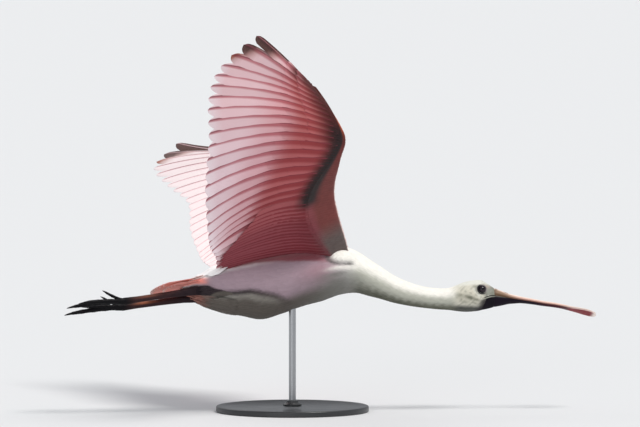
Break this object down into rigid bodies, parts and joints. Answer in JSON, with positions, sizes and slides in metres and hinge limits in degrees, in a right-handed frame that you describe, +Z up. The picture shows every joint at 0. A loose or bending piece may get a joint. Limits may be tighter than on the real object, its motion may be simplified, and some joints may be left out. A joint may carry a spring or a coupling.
{
  "type": "roseate spoonbill",
  "caption": "Life-size still model of a young pink spoonbill in flight, wings raised, neck and legs stretched out, held on a round display stand.",
  "frame": {"origin": "centre of the underside of the stand's round base, on the floor", "axes": "+X toward the bill, +Y toward the bird's left side, +Z up from the base"},
  "size_m": [0.9085, 0.9186, 0.6617],
  "materials": {
    "pale_feather": "soft, matte feather",
    "pink_feather": "matte feather vanes",
    "bill_horn": "satin horn",
    "eye": "wet gloss",
    "leg_skin": "scaled skin, satin",
    "stand_paint": "matte black paint",
    "stand_steel": "brushed"
  },
  "bodies": {
    "root": {"head": "pale_feather", "bill_upper": "bill_horn", "bill_lower": "bill_horn", "eye_left": "eye", "eye_right": "eye", "neck_upper": "pale_feather", "neck_lower": "pale_feather", "torso": "pale_feather", "tail": "pink_feather", "wing_left_arm": "pink_feather", "wing_left_forearm": "pink_feather", "wing_left_hand": "pink_feather", "wing_right_arm": "pink_feather", "wing_right_forearm": "pink_feather", "wing_right_hand": "pink_feather", "leg_left_thigh": "leg_skin", "leg_right_thigh": "leg_skin", "leg_left_shank": "leg_skin", "leg_right_shank": "leg_skin", "foot_left": "leg_skin", "foot_right": "leg_skin", "stand_base": "stand_paint", "stand_collar": "stand_paint", "stand_rod": "stand_steel"}
  },
  "joints": []
}
